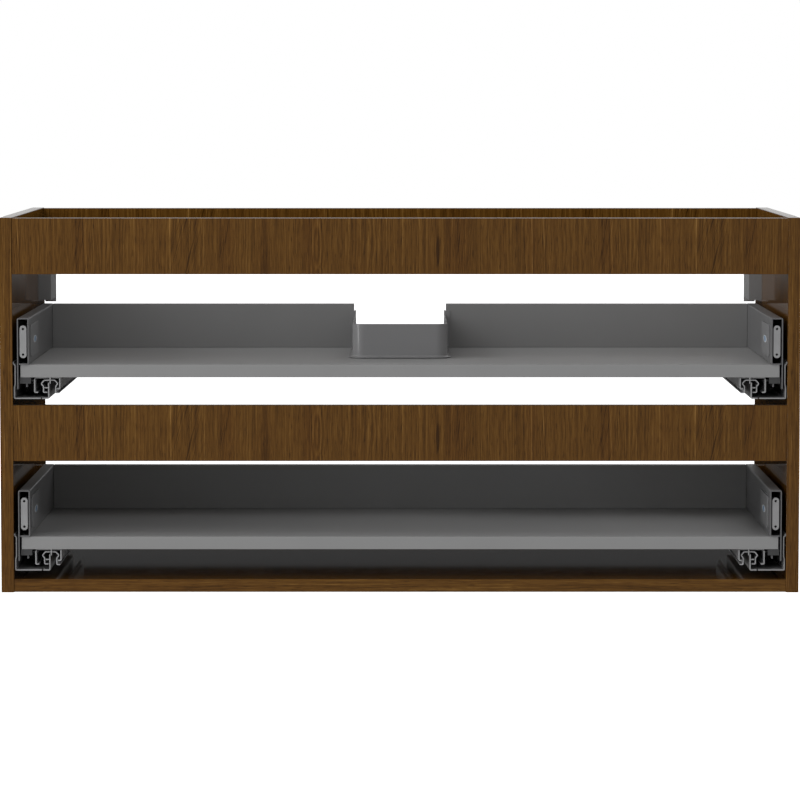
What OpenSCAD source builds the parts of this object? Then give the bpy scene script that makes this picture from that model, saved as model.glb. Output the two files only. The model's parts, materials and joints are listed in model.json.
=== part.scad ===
// Wall-hung bathroom vanity cabinet with two metal-sided drawers on full-extension slides.
// Millimetres. X runs across the front, +Y to the wall, +Z up.
// The origin is at the middle of the underside of the cabinet's bounding box.

/* [Carcass] */
// Overall width
body_w = 1000; // [700:10:1200]
// Overall depth
body_d = 450; // [450:10:560]
// Overall height
body_h = 470; // [470:5:540]
// Thickness of the carcass boards
board = 16; // [15:0.5:18]
// Height of the rails that join the side panels
rail_h = 70; // [56:1:72]
// How far the front rails sit behind the side panels' front edges
rail_inset = 0.8; // [0:0.1:2]
// How far the rails and the bottom panel stay inside the side panels' ends
end_inset = 0.6; // [0:0.1:2]

/* [Drawers] */
// Height of the lower drawer's underside
lower_floor_z = 54.4; // [54:0.1:58]
// Distance from one drawer up to the next
drawer_pitch = 216; // [212:1:218]
// Thickness of the drawer bottoms and backs
drawer_board = 16; // [14:0.5:16]
// Length of the drawer sides
side_len = 355; // [355:1:356]
// Height of the drawer sides above the drawer's underside
side_top = 74.2; // [70:0.1:80]
// Width of the hollow drawer sides
side_w = 14.5; // [14.5:0.1:15]
// Sheet thickness of the drawer sides
side_gauge = 1.4; // [1:0.1:1.4]

/* [Slides] */
// Nominal length of the slides, and the drawers' full travel
slide_len = 350; // [350:1:352]
// Sheet thickness of the slides' outer and inner rails
rail_gauge = 1.5; // [1.2:0.1:1.5]
// Radius of the steel balls
ball_r = 2.5; // [2:0.1:2.5]
// Distance between neighbouring balls in a cage
ball_pitch = 24; // [12:1:30]

/* [Siphon cut-out] */
// Outside width of the surround's wall
siphon_w = 121.6; // [100:0.1:160]
// Depth from the front plane to the surround's front wall
siphon_front = 120; // [80:1:200]
// Outside radius of the surround's corners
siphon_r = 15; // [10:1:25]
// Height of the surround above the drawer bottom
siphon_h = 44.1; // [30:0.1:50]

/* [Wall hangers] */
// Height of a hanger housing
hanger_h = 100; // [90:1:108]
// Depth of a hanger housing
hanger_d = 74; // [70:1:78]
// Width of a hanger housing
hanger_w = 17; // [17:0.5:18]

/* [Hidden] */
$fn = 48;
inner_w = body_w - 2 * board;
upper_floor_z = lower_floor_z + drawer_pitch;

// Carcass boards: the depth of a board's front face and the height of its lower edge
front_top_rail_at = [rail_inset, body_h - end_inset - rail_h];
front_middle_rail_at = [rail_inset, lower_floor_z + 111.1];
back_top_rail_at = [body_d - board, body_h - end_inset - rail_h];
back_bottom_rail_at = [body_d - board, 55];
back_bottom_rail_h = 64;

// Wood dowels and cam fittings in the carcass joints
dowel_r = 4;
dowel_in_panel = 10;
dowel_in_rail = 20;
dowel_spread = 20;
cam_r = 7.5;
cam_depth = 12.5;
cam_centre = 34;
cam_bolt_r = 3;
bolt_head_r = 3.6;
bore_play = 0.05;
rail_spots = [front_top_rail_at, front_middle_rail_at, back_top_rail_at, back_bottom_rail_at];
bottom_axis_z = end_inset + board / 2;
bottom_dowel_ts = [60, body_d / 2, body_d - 60];
bottom_bolt_ts = [105, body_d - 105];

// Each joint in a side panel is [depth, height] of its axis
function rail_joint(at, dz) = [at[0] + board / 2, at[1] + rail_height(at) / 2 + dz];
function rail_height(at) = at == back_bottom_rail_at ? back_bottom_rail_h : rail_h;
dowel_spots = concat(
    [for (at = rail_spots, dz = [-dowel_spread, dowel_spread]) rail_joint(at, dz)],
    [for (t = bottom_dowel_ts) [t, bottom_axis_z]]
);
rail_bolt_spots = [for (at = rail_spots) rail_joint(at, 0)];
bottom_bolt_spots = [for (t = bottom_bolt_ts) [t, bottom_axis_z]];
bolt_spots = concat(rail_bolt_spots, bottom_bolt_spots);

// Drawer sides: u is measured from the side panel's inner face, h from the drawer's underside
side_u = 5.8;
side_drop = 14.6;
side_mid_u0 = side_u + side_gauge / 2;
side_mid_u1 = side_u + side_w - side_gauge / 2;
side_path = [
    [side_mid_u0, -side_drop],
    [side_mid_u0, side_top - side_gauge / 2],
    [side_mid_u1, side_top - side_gauge / 2],
    [side_mid_u1, drawer_board + side_gauge / 2],
    [side_mid_u0 + 1.4, drawer_board + side_gauge / 2]
];
bottom_u = 9.6;
bottom_front = 2;
back_t = side_len - drawer_board;

// Front fixing bar inside each drawer side
bar_u = 13.3;
bar_w = 8.6;
bar_low = 24.2;
bar_high = 65.1;
bar_front = 1;
bar_thick = 3;
bar_hole_r = 1.5;
bar_hole_pitch = 32;

// Cover cap on the inner face of each drawer side
cap_t = [22, 115];
cap_h = [24.6, 64.6];
cap_r = 4;
cap_thick = 1.6;
cap_rim = 6;
plug_r = 4.8;
plug_t = [48, 88];

// Slide rails, as centre lines of bent sheet in u and h
outer_path = [
    [0.75, 19.4], [0.75, 16.9], [2.9, 15.4], [2.9, -9.5],
    [1.9, -12.2], [1.9, -26.3], [44.7, -26.3], [44.7, -6.6]
];
middle_path = [
    [42.9, -18.9], [38.0, -18.9], [38.0, -11.2], [35.2, -8.2], [38.9, -3.7],
    [52.3, -3.7], [56.0, -8.2], [53.3, -11.2], [53.3, -19.6], [57.4, -19.6]
];
inner_path = [
    [31.3, -18.65], [27.35, -18.65], [27.35, -0.75], [58.75, -0.75], [58.75, -14.15], [55.2, -14.15]
];
middle_gauge = 1.4;
slide_bend = 1.25;
slide_front = 3;
middle_t = [5, 347];
inner_t = [2, 345];
inner_cage_t = [112, 255];
outer_cage_t = [106, 255];
cage_thick = 1;

// Inner balls run on both sides of the outer rail's web, outer balls between middle and drawer rail
inner_row_us = [40.9, 49.4];
inner_row_h = -8.6;
saddle_h = [-5.85, -5.15];
outer_row_u = 31.2;
outer_row_h = -8.2;
cage_play = 0.15;

// Screws that hold the slides: 32 mm system holes counted from the front edge
slide_screw_ts = [37, 37 + 7 * 32];
slide_screw_h = 2.5;
slide_screw_r = 3;
slide_screw_head_r = 4.6;
slide_screw_head = 1.1;
slide_screw_depth = 11;
slide_flange_u = outer_path[2][0] + rail_gauge / 2;

// Locking clip and its release catch, under the drawer's front corner
lock_u = [8.5, 22.6];
lock_t = [3, 70];
lock_low = -7.8;
catch_u = [15, 28.6];
catch_t = [18, 28];
catch_h = [-5.8, -3.8];
catch_tab_u = [16, 18];
catch_tab_t = [8, 28];
catch_tab_low = -12.4;
catch_stroke = 4;
catch_play = 0.4;
lock_screw_spots = [[12.5, 42], [18.5, 60]];
lock_screw_r = 1.8;

// Bracket that joins a drawer side to the drawer's back
back_bracket_t = 322;
back_bracket_u = 56;
back_bracket_gauge = 1.5;
back_bracket_h = [drawer_board + 2, side_top - 3];
back_screw_u = 40;
back_screw_hs = [32, 58];
back_screw_r = 2;

// Drawer backs: half their whole length, and half the gap for the siphon
back_half = inner_w / 2 - side_u - side_w - 0.1;
back_gap = siphon_w / 2 + 0.4;

// Wall, foot and the cove between them, as the surround's section
siphon_wall = 2;
foot_w = 4.4;
foot_h = 2;
foot_edge = 0.6;
wall_low = 0.5;
cove_r = 2.6;
cove = [for (a = [0 : 15 : 90]) [cove_r * (1 - cos(a)), drawer_board + foot_h + cove_r * (1 - sin(a))]];
surround_section = concat(
    [[-siphon_wall, wall_low], [0, wall_low], [0, drawer_board], [foot_w, drawer_board]],
    [[foot_w, drawer_board + foot_h - foot_edge], [foot_w - foot_edge, drawer_board + foot_h]],
    [for (i = [len(cove) - 1 : -1 : 0]) cove[i]],
    [[0, drawer_board + siphon_h], [-siphon_wall, drawer_board + siphon_h]]
);

// Hanger housings stand against the back top rail, with their top ends below the cabinet's
hanger_t = body_d - 94;
hanger_z = body_h - 121;
hanger_wall = 1.5;
hook_u = [6.5, 9.5];
hook_nose_u = [1, 16];
hook_arm_z = [hanger_z + 23, hanger_z + 35];
hook_nose_z = hanger_z - 6.7;
hook_nose = 3.5;
hanger_screw_r = 2.5;
hanger_screw_spots = [for (t = [16, hanger_d - 12], z = [8, hanger_h - 8]) [hanger_t + t, hanger_z + z]];
adjuster_r = 2.4;
adjuster_u = hanger_w - 4.5;
adjuster_zs = [hanger_z + 51, hanger_z + 81];

walnut = [0.33, 0.22, 0.12];
board_grey = [0.52, 0.52, 0.52];
metal_grey = [0.42, 0.42, 0.43];
zinc = [0.62, 0.62, 0.62];
plastic_grey = [0.38, 0.38, 0.39];
plastic_dark = [0.16, 0.16, 0.17];
steel = [0.75, 0.75, 0.77];
beech = [0.76, 0.6, 0.4];

// ---- Frames and shared shapes ----

// Places children, drawn with x across, y back from the front plane and z up
module from_front() {
    translate([0, -body_d / 2, 0])
        children();
}

// Places children, drawn with x as u from the left side panel's inner face; side is -1 left, 1 right
module at_side(side) {
    mirror([side > 0 ? 1 : 0, 0, 0])
        translate([-inner_w / 2, -body_d / 2, 0])
            children();
}

module at_both_sides() {
    for (side = [-1, 1])
        at_side(side)
            children();
}

// Box between two opposite corners
module block(low, high) {
    translate(low)
        cube(high - low);
}

// Round bars and bores along u, and along the depth
module bar_u(u0, u1, t, h, r) {
    translate([u0, t, h])
        rotate([0, 90, 0])
            cylinder(h = u1 - u0, r = r);
}

module bar_t(t0, t1, u, h, r) {
    translate([u, t0, h])
        rotate([-90, 0, 0])
            cylinder(h = t1 - t0, r = r);
}

// Extrudes a 2D section, drawn in u and h, from depth t0 to t1
module along_depth(t0, t1) {
    translate([0, t1, 0])
        rotate([90, 0, 0])
            linear_extrude(t1 - t0)
                children();
}

function unit(v) = v / norm(v);
function turned(v) = [-v[1], v[0]];

// Point beside corner i of path p, at distance d from both of its sides
function beside(p, i, d) =
    let (
        last = len(p) - 1,
        into = unit(p[max(i, 1)] - p[max(i, 1) - 1]),
        away = unit(p[min(i, last - 1) + 1] - p[min(i, last - 1)]),
        n = unit(turned(into) + turned(away))
    ) p[i] + n * d / (n * turned(into));

// Outline of a sheet of thickness gauge bent along path p
function sheet_outline(p, gauge) = concat(
    [for (i = [0 : len(p) - 1]) beside(p, i, gauge / 2)],
    [for (i = [len(p) - 1 : -1 : 0]) beside(p, i, -gauge / 2)]
);

// Path p with each corner rounded, leaving it by at most r along each side
function rounded(p, r, steps = 4) = [
    p[0],
    for (i = [1 : len(p) - 2], k = [0 : steps])
        let (
            s = k / steps,
            from = p[i] + unit(p[i - 1] - p[i]) * r,
            to = p[i] + unit(p[i + 1] - p[i]) * r
        ) from * pow(1 - s, 2) + p[i] * 2 * s * (1 - s) + to * pow(s, 2),
    p[len(p) - 1]
];

module sheet_section(path, gauge, bend) {
    polygon(sheet_outline(bend > 0 ? rounded(path, bend) : path, gauge));
}

// Flat plate with round corners, drawn in depth and height, u0 to u1 thick
module rounded_plate(u0, u1, ts, hs, r) {
    for (t = ts - [-r, r], h = hs - [-r, r])
        bar_u(u0, u1, t, h, r);
    block([u0, ts[0] + r, hs[0]], [u1, ts[1] - r, hs[1]]);
    block([u0, ts[0], hs[0] + r], [u1, ts[1], hs[1] - r]);
}

// Plate across the width with round ends of radius r, longest along the depth
module oval_plate(u0, u1, ts, h, r) {
    for (t = ts - [-r, r])
        bar_u(u0, u1, t, h, r);
    block([u0, ts[0] + r, h - r], [u1, ts[1] - r, h + r]);
}

// ---- Carcass ----

module side_panel(side) {
    color(walnut)
        at_side(side)
            difference() {
                block([-board, 0, 0], [0, body_d, body_h]);
                for (spot = dowel_spots)
                    bar_u(-dowel_in_panel - 1, 1, spot[0], spot[1], dowel_r + bore_play);
                for (spot = bolt_spots)
                    bar_u(-dowel_in_panel - 1, 1, spot[0], spot[1], cam_bolt_r + bore_play);
                for (floor_z = [lower_floor_z, upper_floor_z], t = slide_screw_ts)
                    bar_u(-slide_screw_depth - 1, 1, t, floor_z + slide_screw_h, slide_screw_r + bore_play);
                for (spot = hanger_screw_spots)
                    bar_u(-slide_screw_depth - 1, 1, spot[0], spot[1], hanger_screw_r + bore_play);
            }
}

// Holes in a board's end for one dowel, or for one cam bolt
module dowel_bore(spot) {
    at_both_sides()
        bar_u(-1, dowel_in_rail + 1, spot[0], spot[1], dowel_r + bore_play);
}

module bolt_bore(spot) {
    at_both_sides()
        bar_u(-1, cam_centre, spot[0], spot[1], bolt_head_r + 0.4);
}

// Upright board across the carcass, with its fittings' pockets in the back face
module cross_rail(at) {
    height = rail_height(at);
    color(walnut)
        difference() {
            from_front()
                block([-inner_w / 2, at[0], at[1]], [inner_w / 2, at[0] + board, at[1] + height]);
            for (dz = [-dowel_spread, dowel_spread])
                dowel_bore(rail_joint(at, dz));
            bolt_bore(rail_joint(at, 0));
            at_both_sides()
                bar_t(at[0] + board - cam_depth, at[0] + board + 1, cam_centre, at[1] + height / 2, cam_r);
        }
}

module bottom_panel() {
    color(walnut)
        difference() {
            from_front()
                block([-inner_w / 2, rail_inset, end_inset], [inner_w / 2, body_d, end_inset + board]);
            for (t = bottom_dowel_ts)
                dowel_bore([t, bottom_axis_z]);
            for (t = bottom_bolt_ts) {
                bolt_bore([t, bottom_axis_z]);
                at_both_sides()
                    translate([cam_centre, t, end_inset - 1])
                        cylinder(h = cam_depth + 1, r = cam_r);
            }
        }
}

module dowels() {
    color(beech)
        at_both_sides()
            for (spot = dowel_spots)
                bar_u(-dowel_in_panel, dowel_in_rail, spot[0], spot[1], dowel_r);
}

// Bolt in the side panel, with its head in the cam
module cam_bolt(spot) {
    bar_u(-dowel_in_panel, cam_centre - 5, spot[0], spot[1], cam_bolt_r - 0.4);
    bar_u(-dowel_in_panel, 0, spot[0], spot[1], cam_bolt_r);
    bar_u(cam_centre - 5, cam_centre - 2, spot[0], spot[1], bolt_head_r);
}

// Cam drawn upright with its driver slot on top and its axis through the origin
module cam() {
    slot = [1.6, 9];
    difference() {
        cylinder(h = cam_depth - 0.4, r = cam_r - 0.1);
        translate([-cam_r, 0, cam_depth - board / 2])
            rotate([0, 90, 0])
                cylinder(h = cam_r + 1, r = bolt_head_r + 0.4);
        for (turn = [0, 90])
            rotate([0, 0, turn])
                translate([-slot[0] / 2, -slot[1] / 2, cam_depth - 2])
                    cube([slot[0], slot[1], 3]);
    }
}

module cam_fittings() {
    color(zinc)
        at_both_sides() {
            for (spot = bolt_spots)
                cam_bolt(spot);
            for (at = rail_spots)
                translate([cam_centre, at[0] + board - cam_depth, at[1] + rail_height(at) / 2])
                    rotate([-90, 0, 0])
                        cam();
            for (t = bottom_bolt_ts)
                translate([cam_centre, t, end_inset + cam_depth])
                    rotate([180, 0, 0])
                        cam();
        }
}

// ---- Wall hangers ----

module hanger_housing(side) {
    back = hanger_t + hanger_d;
    top = hanger_z + hanger_h;
    slot_t = 24;
    slot_w = 3;
    slot_h = [28, 33];
    color(metal_grey)
        at_side(side)
            difference() {
                block([0, hanger_t, hanger_z], [hanger_w, back, top]);
                block(
                    [hanger_wall, hanger_t + hanger_wall, hanger_z + hanger_wall],
                    [hanger_w - hanger_wall, back + 1, top - hanger_wall]
                );
                for (spot = hanger_screw_spots)
                    bar_u(-1, hanger_wall + 1, spot[0], spot[1], hanger_screw_r + bore_play);
                for (z = adjuster_zs)
                    bar_t(hanger_t - 1, hanger_t + hanger_wall + 1, adjuster_u, z, adjuster_r + 0.3);
                block(
                    [hanger_w - hanger_wall - 1, back - slot_t, hanger_z + slot_h[0]],
                    [hanger_w + 1, back - slot_t + slot_w, hanger_z + slot_h[1]]
                );
            }
}

// Steel hook: a plate inside the housing, an arm to the wall and a nose that drops behind the wall plate
module hanger_hook(side) {
    plate_t = [hanger_t + 6, hanger_t + 66];
    plate_z = [hanger_z + 11, hanger_z + hanger_h - 17];
    nose_t = [body_d - 1 - hook_nose, body_d - 1];
    color(steel)
        at_side(side) {
            block([hook_u[0], plate_t[0], plate_z[0]], [hook_u[1], plate_t[1], plate_z[1]]);
            block([hook_u[0], plate_t[1] - 1, hook_arm_z[0]], [hook_u[1], nose_t[1], hook_arm_z[1]]);
            block([hook_nose_u[0], nose_t[0], hook_nose_z], [hook_nose_u[1], nose_t[1], hook_arm_z[1]]);
        }
}

// Housing screws into the side panels, and the two adjusters that are turned from inside the cabinet
module hanger_screws() {
    head_r = 4;
    head = 1.6;
    color(zinc)
        at_both_sides() {
            for (spot = hanger_screw_spots) {
                bar_u(-slide_screw_depth, hanger_wall, spot[0], spot[1], hanger_screw_r);
                bar_u(hanger_wall, hanger_wall + head, spot[0], spot[1], head_r);
            }
            for (z = adjuster_zs)
                bar_t(hanger_t + 0.4, hanger_t + 44, adjuster_u, z, adjuster_r);
        }
}

// ---- Slides ----

module outer_rail(side, floor_z) {
    slot_u = 34.8;
    slot_w = 1.6;
    stop_u = 39.4;
    web_u = outer_path[7][0];
    plate_h = outer_path[6][1];
    color(zinc)
        at_side(side)
            translate([0, 0, floor_z]) {
                difference() {
                    along_depth(slide_front, slide_front + slide_len)
                        sheet_section(outer_path, rail_gauge, slide_bend);
                    for (t = slide_screw_ts)
                        bar_u(-1, slide_flange_u + 1, t, slide_screw_h, slide_screw_r + 0.3);
                    block([slot_u, 0, plate_h - 2], [slot_u + slot_w, slide_front + 18, plate_h + 2]);
                }
                block([stop_u, slide_front, -13.7], [web_u, slide_front + 7, -12.4]);
            }
}

module middle_rail(side, floor_z) {
    color(steel)
        at_side(side)
            translate([0, 0, floor_z])
                along_depth(middle_t[0], middle_t[1])
                    sheet_section(middle_path, middle_gauge, slide_bend);
}

// Drawer rail: its top plate starts behind the front end, where a tongue pushes the middle rail shut
module inner_rail(side, floor_z) {
    plate_start = 7;
    hook_path = [inner_path[0], inner_path[1], [inner_path[1][0], -2.4]];
    flange_path = [[inner_path[4][0], -slide_bend], inner_path[4], inner_path[5]];
    tongue_u = [45.9, 47.4];
    tongue_t = [inner_t[0] + 0.5, inner_t[0] + 2];
    tongue_low = -7.8;
    color(zinc)
        at_side(side)
            translate([0, 0, floor_z]) {
                difference() {
                    union() {
                        along_depth(plate_start, inner_t[1])
                            sheet_section(inner_path, rail_gauge, slide_bend);
                        along_depth(inner_t[0], plate_start + 1)
                            sheet_section(hook_path, rail_gauge, slide_bend);
                        along_depth(inner_t[0], plate_start + 1)
                            sheet_section(flange_path, rail_gauge, slide_bend);
                        block([tongue_u[0], tongue_t[0], -rail_gauge], [tongue_u[1], plate_start + 1, 0]);
                        block([tongue_u[0], tongue_t[0], tongue_low], [tongue_u[1], tongue_t[1], 0]);
                    }
                    block([20, catch_t[0] - 2, -7.2], [30, catch_t[1] + 2, -2.6]);
                }
            }
}

function ball_ts(ts) = [for (t = [ts[0] + 8 : ball_pitch : ts[1] - 6]) t];

// Row of balls at u and h, and the upright strip that spaces them
module ball_row(u, h, ts) {
    for (t = ball_ts(ts))
        translate([u, t, h])
            sphere(r = ball_r);
}

module cage_strip(u, hs, ball_h, ts) {
    difference() {
        block([u - cage_thick / 2, ts[0], hs[0]], [u + cage_thick / 2, ts[1], hs[1]]);
        for (t = ball_ts(ts))
            bar_u(u - cage_thick, u + cage_thick, t, ball_h, ball_r + cage_play);
    }
}

module inner_cages(floor_z) {
    color(plastic_dark)
        at_both_sides()
            translate([0, 0, floor_z]) {
                for (u = inner_row_us)
                    cage_strip(u, [-11.6, saddle_h[1]], inner_row_h, inner_cage_t);
                block(
                    [inner_row_us[0] - cage_thick / 2, inner_cage_t[0], saddle_h[0]],
                    [inner_row_us[1] + cage_thick / 2, inner_cage_t[1], saddle_h[1]]
                );
            }
}

module inner_balls(floor_z) {
    color(steel)
        at_both_sides()
            translate([0, 0, floor_z])
                for (u = inner_row_us)
                    ball_row(u, inner_row_h, inner_cage_t);
}

module outer_cages(floor_z) {
    color(plastic_dark)
        at_both_sides()
            translate([0, 0, floor_z])
                cage_strip(outer_row_u, [-13.4, -3.4], outer_row_h, outer_cage_t);
}

module outer_balls(floor_z) {
    color(steel)
        at_both_sides()
            translate([0, 0, floor_z])
                ball_row(outer_row_u, outer_row_h, outer_cage_t);
}

module slide_screws() {
    color(zinc)
        at_both_sides()
            for (floor_z = [lower_floor_z, upper_floor_z], t = slide_screw_ts) {
                bar_u(-slide_screw_depth, slide_flange_u, t, floor_z + slide_screw_h, slide_screw_r);
                bar_u(
                    slide_flange_u, slide_flange_u + slide_screw_head,
                    t, floor_z + slide_screw_h, slide_screw_head_r
                );
            }
}

// Soft-close dampers lying on the outer rails' bottom plates: housing, rod and slider
module dampers() {
    low = outer_path[5][1] + rail_gauge / 2;
    high = low + 9.6;
    rod_h = low + 5;
    rod_r = 2;
    housing_u = [8.5, 24.5];
    housing_t = [176, 312];
    slider_u = [11.5, 21.5];
    slider_t = [104, 120];
    color(plastic_dark)
        at_both_sides()
            for (floor_z = [lower_floor_z, upper_floor_z])
                translate([0, 0, floor_z]) {
                    block([housing_u[0], housing_t[0], low], [housing_u[1], housing_t[1], high]);
                    block([slider_u[0], slider_t[0], low], [slider_u[1], slider_t[1], high]);
                    bar_t(slider_t[1], housing_t[0], (slider_u[0] + slider_u[1]) / 2, rod_h, rod_r);
                }
}

// ---- Drawers ----

// Hollow steel side with an opening behind the cover cap
module drawer_side(side, floor_z) {
    color(metal_grey)
        at_side(side)
            translate([0, 0, floor_z])
                difference() {
                    along_depth(0, side_len)
                        sheet_section(side_path, side_gauge, 1.2);
                    block(
                        [side_mid_u1 - 2, cap_t[0] + cap_rim, cap_h[0] + cap_rim],
                        [side_mid_u1 + 2, cap_t[1] - cap_rim, cap_h[1] - cap_rim]
                    );
                }
}

module cut_out(low, high, play) {
    w = siphon_w / 2 + play;
    r = siphon_r + play;
    t = siphon_front - play;
    translate([0, 0, low])
        linear_extrude(high - low) {
            translate([-w, t + r])
                square([2 * w, side_len]);
            translate([-w + r, t])
                square([2 * (w - r), r + 1]);
            for (x = [-w + r, w - r])
                translate([x, t + r])
                    circle(r = r);
        }
}

module drawer_bottom(floor_z, with_cut_out) {
    half = inner_w / 2 - bottom_u;
    color(board_grey)
        difference() {
            from_front()
                translate([0, 0, floor_z])
                    difference() {
                        block([-half, bottom_front, 0], [half, side_len, drawer_board]);
                        if (with_cut_out)
                            cut_out(-1, drawer_board + 1, 0.4);
                    }
            at_both_sides()
                for (spot = lock_screw_spots)
                    translate([spot[0], spot[1], floor_z - 1])
                        cylinder(h = 12, r = lock_screw_r + bore_play);
        }
}

// Upright back board between two places across the drawer
module drawer_back(floor_z, x0, x1) {
    color(board_grey)
        difference() {
            from_front()
                translate([0, 0, floor_z])
                    block([x0, back_t, drawer_board], [x1, side_len, side_top - 0.1]);
            at_both_sides()
                for (h = back_screw_hs)
                    bar_t(side_len - 13, side_len + 1, back_screw_u, floor_z + h, back_screw_r + bore_play);
        }
}

// Sweeps a section, drawn in outward distance from the wall's outer face and height, around the cut-out
module around_cut_out(back) {
    cx = siphon_w / 2 - siphon_r;
    ct = siphon_front + siphon_r;
    for (side = [-1, 1])
        mirror([side > 0 ? 1 : 0, 0, 0]) {
            translate([-siphon_w / 2, ct, 0])
                mirror([1, 0, 0])
                    along_depth(0, back - ct)
                        children();
            translate([-cx, ct, 0])
                rotate([0, 0, 180])
                    rotate_extrude(angle = 90)
                        translate([siphon_r, 0])
                            children();
        }
    translate([cx, siphon_front, 0])
        rotate([90, 0, -90])
            linear_extrude(2 * cx)
                children();
}

module siphon_surround() {
    ear_top = drawer_board + siphon_h + 5;
    wing = [siphon_w / 2 + 6, 1.4];
    color(plastic_grey)
        from_front()
            translate([0, 0, upper_floor_z]) {
                around_cut_out(back_t)
                    polygon(surround_section);
                for (side = [0, 1])
                    mirror([side, 0, 0]) {
                        block(
                            [siphon_w / 2 - siphon_wall, back_t - wing[1], wall_low],
                            [siphon_w / 2, side_len, ear_top]
                        );
                        block(
                            [siphon_w / 2 - siphon_wall, back_t - wing[1], drawer_board],
                            [wing[0], back_t, ear_top]
                        );
                    }
            }
}

// Bar that a drawer front is screwed to, with its carrier behind it in the hollow side
module front_brackets(floor_z) {
    carrier_w = 6.4;
    carrier_end = 62;
    r = bar_w / 2;
    middle = (bar_low + bar_high) / 2;
    color(zinc)
        at_both_sides()
            translate([0, 0, floor_z])
                difference() {
                    union() {
                        for (h = [bar_low + r, bar_high - r])
                            bar_t(bar_front, bar_front + bar_thick, bar_u, h, r);
                        block(
                            [bar_u - r, bar_front, bar_low + r],
                            [bar_u + r, bar_front + bar_thick, bar_high - r]
                        );
                        block(
                            [bar_u - carrier_w / 2, bar_front + 1, bar_low + 2],
                            [bar_u + carrier_w / 2, carrier_end, bar_high - 2]
                        );
                    }
                    for (h = [-bar_hole_pitch / 2, bar_hole_pitch / 2])
                        bar_t(0, 14, bar_u, middle + h, bar_hole_r);
                }
}

// Cover cap with an oval plug in its middle
module caps(floor_z) {
    face_u = side_u + side_w;
    middle = (cap_h[0] + cap_h[1]) / 2;
    lip = cap_rim + 0.3;
    color(plastic_grey)
        at_both_sides()
            translate([0, 0, floor_z]) {
                difference() {
                    union() {
                        rounded_plate(face_u, face_u + cap_thick, cap_t, cap_h, cap_r);
                        block(
                            [face_u - 1, cap_t[0] + lip, cap_h[0] + lip],
                            [face_u + 0.1, cap_t[1] - lip, cap_h[1] - lip]
                        );
                    }
                    oval_plate(face_u + 0.3, face_u + 2, plug_t + [-0.1, 0.1], middle, plug_r + 0.1);
                }
                oval_plate(face_u + 0.35, face_u + cap_thick + 0.4, plug_t, middle, plug_r);
            }
}

module back_brackets(floor_z) {
    u = side_u + side_w - side_gauge - back_bracket_gauge / 2;
    t = side_len + back_bracket_gauge / 2;
    path = [[u, back_bracket_t], [u, t], [back_bracket_u, t]];
    color(zinc)
        at_both_sides()
            translate([0, 0, floor_z])
                difference() {
                    translate([0, 0, back_bracket_h[0]])
                        linear_extrude(back_bracket_h[1] - back_bracket_h[0])
                            polygon(sheet_outline(path, back_bracket_gauge));
                    for (h = back_screw_hs)
                        bar_t(side_len - 1, side_len + 3, back_screw_u, h, back_screw_r + 0.3);
                }
}

module locks(floor_z) {
    reach = catch_stroke + catch_play;
    roof_h = catch_h[1] + catch_play;
    color(plastic_dark)
        at_both_sides()
            translate([0, 0, floor_z])
                difference() {
                    block([lock_u[0], lock_t[0], lock_low], [lock_u[1], lock_t[1], 0]);
                    block(
                        [catch_u[0] - reach, catch_t[0] - catch_play, catch_h[0] - catch_play],
                        [lock_u[1] + 1, catch_t[1] + catch_play, roof_h]
                    );
                    block(
                        [catch_tab_u[0] - reach, catch_tab_t[0] - catch_play, lock_low - 1],
                        [catch_tab_u[1] + catch_play, catch_tab_t[1] + catch_play, roof_h]
                    );
                    for (spot = lock_screw_spots)
                        translate([spot[0], spot[1], lock_low - 1])
                            cylinder(h = 10, r = lock_screw_r + 0.2);
                }
}

// Spring-loaded catch: its end goes through the drawer rail, and its tab is pushed to the side to let go
module catch(side, floor_z) {
    color(plastic_grey)
        at_side(side)
            translate([0, 0, floor_z]) {
                block([catch_u[0], catch_t[0], catch_h[0]], [catch_u[1], catch_t[1], catch_h[1]]);
                block(
                    [catch_tab_u[0], catch_tab_t[0], catch_tab_low],
                    [catch_tab_u[1], catch_tab_t[1], catch_h[1]]
                );
            }
}

// Screws of the locking clips and of the back brackets
module drawer_screws(floor_z) {
    lock_head = [3.4, 1.4];
    back_head = [4, 1.6];
    head_t = side_len + back_bracket_gauge;
    color(zinc)
        at_both_sides()
            translate([0, 0, floor_z]) {
                for (spot = lock_screw_spots)
                    translate([spot[0], spot[1], lock_low - lock_head[1]]) {
                        cylinder(h = lock_head[1], r = lock_head[0]);
                        cylinder(h = 10 - lock_low, r = lock_screw_r);
                    }
                for (h = back_screw_hs) {
                    bar_t(side_len - 12, head_t + 0.1, back_screw_u, h, back_screw_r);
                    bar_t(head_t, head_t + back_head[1], back_screw_u, h, back_head[0]);
                }
            }
}

// ---- Nodes ----

side_panel(-1);  // side_panel_left
side_panel(1);  // side_panel_right
bottom_panel();
cross_rail(front_top_rail_at);  // front_top_rail
cross_rail(front_middle_rail_at);  // front_middle_rail
cross_rail(back_top_rail_at);  // back_top_rail
cross_rail(back_bottom_rail_at);  // back_bottom_rail
dowels();
cam_fittings();
hanger_housing(-1);  // hanger_housing_left
hanger_housing(1);  // hanger_housing_right
hanger_hook(-1);  // hanger_hook_left
hanger_hook(1);  // hanger_hook_right
hanger_screws();
outer_rail(-1, upper_floor_z);  // upper_outer_rail_left
outer_rail(1, upper_floor_z);  // upper_outer_rail_right
outer_rail(-1, lower_floor_z);  // lower_outer_rail_left
outer_rail(1, lower_floor_z);  // lower_outer_rail_right
slide_screws();
dampers();
middle_rail(-1, upper_floor_z);  // upper_middle_rail_left
middle_rail(1, upper_floor_z);  // upper_middle_rail_right
middle_rail(-1, lower_floor_z);  // lower_middle_rail_left
middle_rail(1, lower_floor_z);  // lower_middle_rail_right
inner_cages(upper_floor_z);  // upper_inner_cages
inner_balls(upper_floor_z);  // upper_inner_balls
outer_cages(upper_floor_z);  // upper_outer_cages
outer_balls(upper_floor_z);  // upper_outer_balls
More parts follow.
